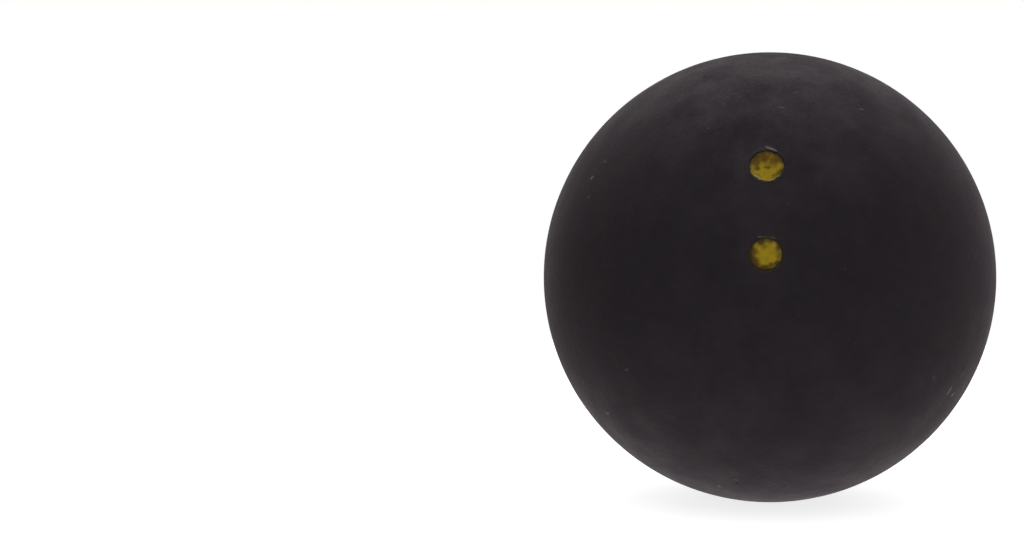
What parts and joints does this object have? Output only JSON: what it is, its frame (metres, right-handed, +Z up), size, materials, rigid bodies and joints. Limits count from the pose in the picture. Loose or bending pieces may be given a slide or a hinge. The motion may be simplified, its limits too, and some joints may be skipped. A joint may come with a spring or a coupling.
{
  "type": "squash ball",
  "caption": "Hollow black rubber squash ball: moulded half shells cemented rim to rim, with yellow marking dots pressed into round pockets.",
  "frame": {"origin": "centre of the ball", "axes": "+Z up, the seam lies in the XZ plane, the two dots face -Y one above the other, the printed side faces +Y"},
  "size_m": [0.04, 0.04, 0.04],
  "materials": {
    "black_rubber": "buffed matte",
    "rubber_cement": "cured, buffed flush outside",
    "yellow_marking": "pressed marking film, slightly worn"
  },
  "bodies": {
    "root": {"dotted_half_shell": "black_rubber", "printed_half_shell": "black_rubber", "seam_cement": "rubber_cement", "upper_dot": "yellow_marking", "lower_dot": "yellow_marking"}
  },
  "joints": []
}
